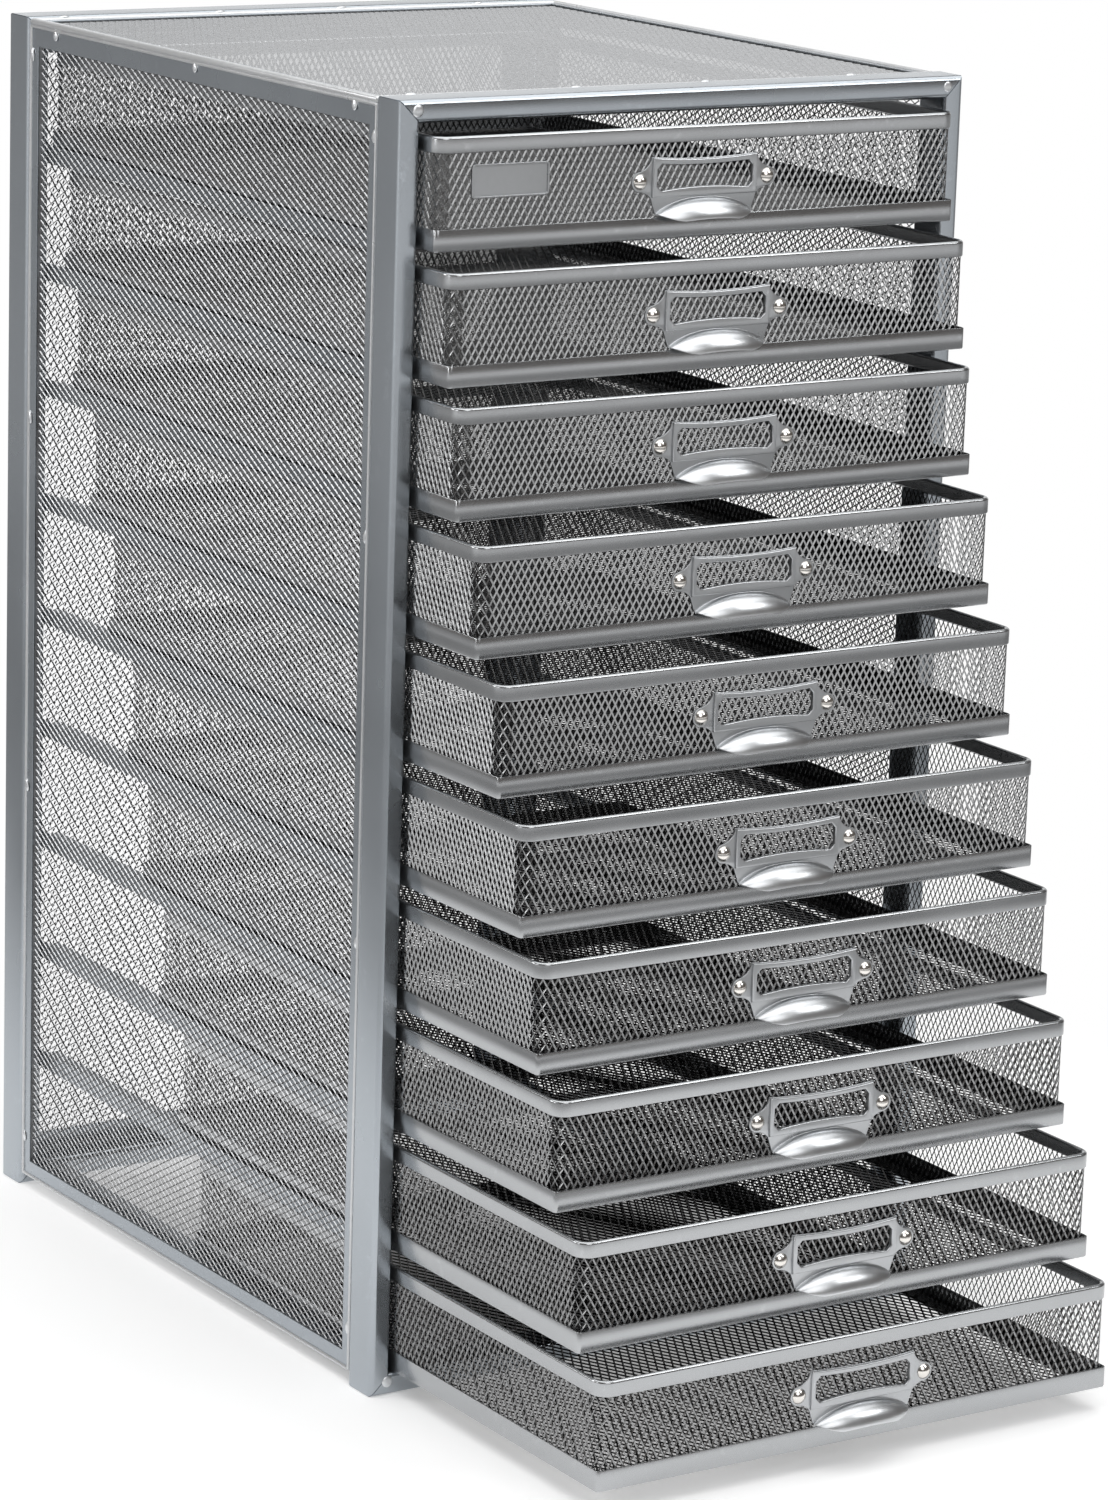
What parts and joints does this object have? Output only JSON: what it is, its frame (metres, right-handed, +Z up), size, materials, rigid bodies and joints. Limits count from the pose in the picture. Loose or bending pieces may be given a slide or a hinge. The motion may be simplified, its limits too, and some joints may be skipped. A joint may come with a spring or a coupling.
{
  "type": "desktop mini drawers",
  "caption": "Desktop cabinet with two steel tube frames, expanded-mesh panels and shallow mesh drawers on side runners, each with a riveted label holder and finger pull.",
  "frame": {"origin": "middle of the front frame's bottom rail, on its underside", "axes": "+X to the right seen from the front, +Y towards the rear, +Z up; the drawers pull out along -Y"},
  "size_m": [0.292, 0.5301, 0.5715],
  "materials": {
    "frame_steel": "satin silver-grey",
    "panel_steel": "satin silver-grey",
    "runner_steel": "satin grey",
    "mesh_steel": "satin silver-grey",
    "rim_steel": "satin silver-grey",
    "pull_steel": "satin silver-grey",
    "rivet_chrome": "polished"
  },
  "bodies": {
    "cabinet": {"front_frame": "frame_steel", "rear_frame": "frame_steel", "left_panel": "panel_steel", "right_panel": "panel_steel", "top_panel": "panel_steel", "back_panel": "panel_steel", "left_runners": "runner_steel", "right_runners": "runner_steel"},
    "drawer_01": {"tray_01": "mesh_steel", "top_rim_01": "rim_steel", "bottom_rim_01": "rim_steel", "label_pull_01": "pull_steel", "rivets_01": "rivet_chrome"},
    "drawer_02": {"tray_02": "mesh_steel", "top_rim_02": "rim_steel", "bottom_rim_02": "rim_steel", "label_pull_02": "pull_steel", "rivets_02": "rivet_chrome"},
    "drawer_03": {"tray_03": "mesh_steel", "top_rim_03": "rim_steel", "bottom_rim_03": "rim_steel", "label_pull_03": "pull_steel", "rivets_03": "rivet_chrome"},
    "drawer_04": {"tray_04": "mesh_steel", "top_rim_04": "rim_steel", "bottom_rim_04": "rim_steel", "label_pull_04": "pull_steel", "rivets_04": "rivet_chrome"},
    "drawer_05": {"tray_05": "mesh_steel", "top_rim_05": "rim_steel", "bottom_rim_05": "rim_steel", "label_pull_05": "pull_steel", "rivets_05": "rivet_chrome"},
    "drawer_06": {"tray_06": "mesh_steel", "top_rim_06": "rim_steel", "bottom_rim_06": "rim_steel", "label_pull_06": "pull_steel", "rivets_06": "rivet_chrome"},
    "drawer_07": {"tray_07": "mesh_steel", "top_rim_07": "rim_steel", "bottom_rim_07": "rim_steel", "label_pull_07": "pull_steel", "rivets_07": "rivet_chrome"},
    "drawer_08": {"tray_08": "mesh_steel", "top_rim_08": "rim_steel", "bottom_rim_08": "rim_steel", "label_pull_08": "pull_steel", "rivets_08": "rivet_chrome"},
    "drawer_09": {"tray_09": "mesh_steel", "top_rim_09": "rim_steel", "bottom_rim_09": "rim_steel", "label_pull_09": "pull_steel", "rivets_09": "rivet_chrome"},
    "drawer_10": {"tray_10": "mesh_steel", "top_rim_10": "rim_steel", "bottom_rim_10": "rim_steel", "label_pull_10": "pull_steel", "rivets_10": "rivet_chrome"}
  },
  "joints": [
    {"name": "drawer_01_slide", "type": "slide", "parent": "cabinet", "child": "drawer_01", "axis": [0, -1, 0], "range_m": [-0.0115, 0.2685]},
    {"name": "drawer_02_slide", "type": "slide", "parent": "cabinet", "child": "drawer_02", "axis": [0, -1, 0], "range_m": [-0.025, 0.255]},
    {"name": "drawer_03_slide", "type": "slide", "parent": "cabinet", "child": "drawer_03", "axis": [0, -1, 0], "range_m": [-0.034, 0.246]},
    {"name": "drawer_04_slide", "type": "slide", "parent": "cabinet", "child": "drawer_04", "axis": [0, -1, 0], "range_m": [-0.0525, 0.2275]},
    {"name": "drawer_05_slide", "type": "slide", "parent": "cabinet", "child": "drawer_05", "axis": [0, -1, 0], "range_m": [-0.0725, 0.2075]},
    {"name": "drawer_06_slide", "type": "slide", "parent": "cabinet", "child": "drawer_06", "axis": [0, -1, 0], "range_m": [-0.093, 0.187]},
    {"name": "drawer_07_slide", "type": "slide", "parent": "cabinet", "child": "drawer_07", "axis": [0, -1, 0], "range_m": [-0.109, 0.171]},
    {"name": "drawer_08_slide", "type": "slide", "parent": "cabinet", "child": "drawer_08", "axis": [0, -1, 0], "range_m": [-0.126, 0.154]},
    {"name": "drawer_09_slide", "type": "slide", "parent": "cabinet", "child": "drawer_09", "axis": [0, -1, 0], "range_m": [-0.147, 0.133]},
    {"name": "drawer_10_slide", "type": "slide", "parent": "cabinet", "child": "drawer_10", "axis": [0, -1, 0], "range_m": [-0.1645, 0.1155]}
  ]
}
